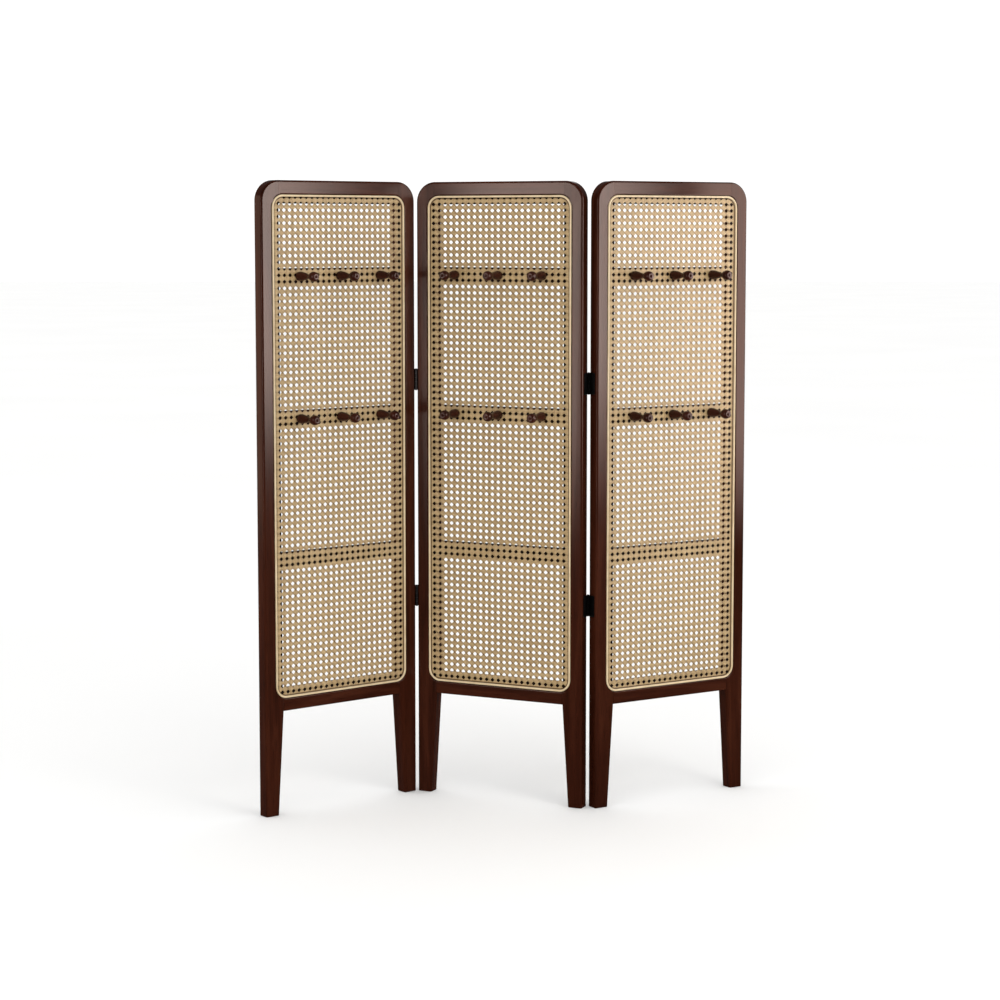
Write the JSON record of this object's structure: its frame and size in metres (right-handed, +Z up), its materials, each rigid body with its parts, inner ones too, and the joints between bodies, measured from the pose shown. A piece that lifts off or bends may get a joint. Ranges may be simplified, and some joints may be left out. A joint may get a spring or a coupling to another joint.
{
  "type": "folding screen",
  "caption": "Folding room screen of three hinged wooden panels with open-weave cane infill, tapered legs and two rows of turned coat pegs.",
  "frame": {"origin": "centre of the footprint of the standing zigzag, on the floor", "axes": "+Z up; the pegged front faces -Y; +X to the right seen from the front"},
  "size_m": [1.173, 0.338, 1.5],
  "materials": {
    "stained_wood": "dark walnut stain under semi-gloss lacquer",
    "peg_wood": "dark red-brown stain, glossy lacquer",
    "cane_webbing": "natural woven cane, satin",
    "spline_reed": "pale reed, satin",
    "hinge_steel": "black, semi-gloss"
  },
  "bodies": {
    "left_panel": {"left_left_stile": "stained_wood", "left_right_stile": "stained_wood", "left_top_rail": "stained_wood", "left_bottom_rail": "stained_wood", "left_upper_peg_rail": "stained_wood", "left_lower_peg_rail": "stained_wood", "left_plain_cross_rail": "stained_wood", "left_cane_sheet": "cane_webbing", "left_cane_spline": "spline_reed", "left_upper_peg_1": "peg_wood", "left_upper_peg_2": "peg_wood", "left_upper_peg_3": "peg_wood", "left_lower_peg_1": "peg_wood", "left_lower_peg_2": "peg_wood", "left_lower_peg_3": "peg_wood", "left_upper_hinge_outer_leaf": "hinge_steel", "left_lower_hinge_outer_leaf": "hinge_steel"},
    "middle_panel": {"middle_left_stile": "stained_wood", "middle_right_stile": "stained_wood", "middle_top_rail": "stained_wood", "middle_bottom_rail": "stained_wood", "middle_upper_peg_rail": "stained_wood", "middle_lower_peg_rail": "stained_wood", "middle_plain_cross_rail": "stained_wood", "middle_cane_sheet": "cane_webbing", "middle_cane_spline": "spline_reed", "middle_upper_peg_1": "peg_wood", "middle_upper_peg_2": "peg_wood", "middle_upper_peg_3": "peg_wood", "middle_lower_peg_1": "peg_wood", "middle_lower_peg_2": "peg_wood", "middle_lower_peg_3": "peg_wood", "left_upper_hinge_middle_leaf": "hinge_steel", "left_upper_hinge_pin": "hinge_steel", "left_lower_hinge_middle_leaf": "hinge_steel", "left_lower_hinge_pin": "hinge_steel", "right_upper_hinge_middle_leaf": "hinge_steel", "right_upper_hinge_pin": "hinge_steel", "right_lower_hinge_middle_leaf": "hinge_steel", "right_lower_hinge_pin": "hinge_steel"},
    "right_panel": {"right_left_stile": "stained_wood", "right_right_stile": "stained_wood", "right_top_rail": "stained_wood", "right_bottom_rail": "stained_wood", "right_upper_peg_rail": "stained_wood", "right_lower_peg_rail": "stained_wood", "right_plain_cross_rail": "stained_wood", "right_cane_sheet": "cane_webbing", "right_cane_spline": "spline_reed", "right_upper_peg_1": "peg_wood", "right_upper_peg_2": "peg_wood", "right_upper_peg_3": "peg_wood", "right_lower_peg_1": "peg_wood", "right_lower_peg_2": "peg_wood", "right_lower_peg_3": "peg_wood", "right_upper_hinge_outer_leaf": "hinge_steel", "right_lower_hinge_outer_leaf": "hinge_steel"}
  },
  "joints": [
    {"name": "left_fold", "type": "hinge", "parent": "middle_panel", "child": "left_panel", "pos_m": [-0.22087, 0.10122, 0.75], "axis": [0, 0, 1], "range_deg": [-63.7, 36.2]},
    {"name": "right_fold", "type": "hinge", "parent": "middle_panel", "child": "right_panel", "pos_m": [0.19404, -0.05791, 0.75], "axis": [0, 0, 1], "range_deg": [-56.9, 122.5]}
  ]
}
